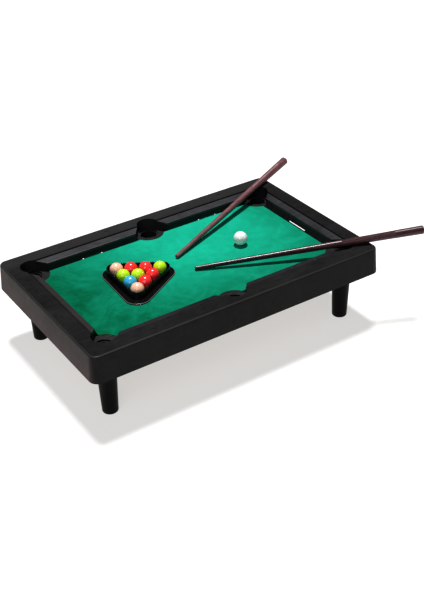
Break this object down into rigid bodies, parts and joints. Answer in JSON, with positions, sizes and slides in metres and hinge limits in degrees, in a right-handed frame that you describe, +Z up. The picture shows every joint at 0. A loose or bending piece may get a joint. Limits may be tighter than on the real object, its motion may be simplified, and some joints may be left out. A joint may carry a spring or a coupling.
{
  "type": "mini pool table",
  "caption": "Table-top pool table on tapered legs: moulded black rail, green cloth bed, pocket cups, triangle rack, coloured balls and cues resting on the rail.",
  "frame": {"origin": "on the floor, under the middle of the whole set, that is the table with both cues laid out past its right end", "axes": "+X along the table's long side, towards the end that the cues reach over; +Y across it, towards the far side; +Z up"},
  "size_m": [0.3557, 0.2098, 0.0927],
  "materials": {
    "frame_plastic": "satin moulded black",
    "cushion_plastic": "smooth black moulding, semi gloss",
    "hardboard": "raw hardboard",
    "felt": "short green nap",
    "cup_plastic": "satin moulded black",
    "leg_plastic": "satin moulded black",
    "rack_plastic": "gloss black",
    "ball_red": "gloss",
    "ball_lime": "gloss",
    "ball_blue": "gloss",
    "ball_peach": "gloss",
    "ball_white": "gloss",
    "cue_plastic": "semi gloss burgundy"
  },
  "bodies": {
    "table": {"table_frame": "frame_plastic", "cushion_near_left": "cushion_plastic", "cushion_near_right": "cushion_plastic", "cushion_far_left": "cushion_plastic", "cushion_far_right": "cushion_plastic", "cushion_left_end": "cushion_plastic", "cushion_right_end": "cushion_plastic", "bed_board": "hardboard", "felt_cloth": "felt", "cup_near_middle": "cup_plastic", "cup_far_middle": "cup_plastic", "cup_near_left": "cup_plastic", "cup_near_right": "cup_plastic", "cup_far_left": "cup_plastic", "cup_far_right": "cup_plastic", "leg_near_left": "leg_plastic", "leg_near_right": "leg_plastic", "leg_far_left": "leg_plastic", "leg_far_right": "leg_plastic"},
    "rack": {"triangle_rack": "rack_plastic"},
    "ball_01": {"ball_01_peach": "ball_peach"},
    "ball_02": {"ball_02_red": "ball_red"},
    "ball_03": {"ball_03_red": "ball_red"},
    "ball_04": {"ball_04_lime": "ball_lime"},
    "ball_05": {"ball_05_lime": "ball_lime"},
    "ball_06": {"ball_06_lime": "ball_lime"},
    "ball_07": {"ball_07_red": "ball_red"},
    "ball_08": {"ball_08_blue": "ball_blue"},
    "ball_09": {"ball_09_red": "ball_red"},
    "ball_10": {"ball_10_peach": "ball_peach"},
    "white_ball": {"cue_ball": "ball_white"},
    "cue_far_stick": {"cue_far": "cue_plastic"},
    "cue_near_stick": {"cue_near": "cue_plastic"}
  },
  "joints": [
    {"name": "rack_lift", "type": "slide", "parent": "table", "child": "rack", "axis": [0, 0, 1], "range_m": [0, 0.04]},
    {"name": "ball_01_lift", "type": "slide", "parent": "table", "child": "ball_01", "axis": [0, 0, 1], "range_m": [0, 0.03]},
    {"name": "ball_02_lift", "type": "slide", "parent": "table", "child": "ball_02", "axis": [0, 0, 1], "range_m": [0, 0.03]},
    {"name": "ball_03_lift", "type": "slide", "parent": "table", "child": "ball_03", "axis": [0, 0, 1], "range_m": [0, 0.03]},
    {"name": "ball_04_lift", "type": "slide", "parent": "table", "child": "ball_04", "axis": [0, 0, 1], "range_m": [0, 0.03]},
    {"name": "ball_05_lift", "type": "slide", "parent": "table", "child": "ball_05", "axis": [0, 0, 1], "range_m": [0, 0.03]},
    {"name": "ball_06_lift", "type": "slide", "parent": "table", "child": "ball_06", "axis": [0, 0, 1], "range_m": [0, 0.03]},
    {"name": "ball_07_lift", "type": "slide", "parent": "table", "child": "ball_07", "axis": [0, 0, 1], "range_m": [0, 0.03]},
    {"name": "ball_08_lift", "type": "slide", "parent": "table", "child": "ball_08", "axis": [0, 0, 1], "range_m": [0, 0.03]},
    {"name": "ball_09_lift", "type": "slide", "parent": "table", "child": "ball_09", "axis": [0, 0, 1], "range_m": [0, 0.03]},
    {"name": "ball_10_lift", "type": "slide", "parent": "table", "child": "ball_10", "axis": [0, 0, 1], "range_m": [0, 0.03]},
    {"name": "white_ball_lift", "type": "slide", "parent": "table", "child": "white_ball", "axis": [0, 0, 1], "range_m": [0, 0.03]},
    {"name": "cue_far_draw", "type": "slide", "parent": "table", "child": "cue_far_stick", "axis": [0.9152, 0.396, 0.0747], "range_m": [0, 0.06]},
    {"name": "cue_near_draw", "type": "slide", "parent": "table", "child": "cue_near_stick", "axis": [0.9067, -0.4151, 0.0746], "range_m": [0, 0.06]}
  ]
}
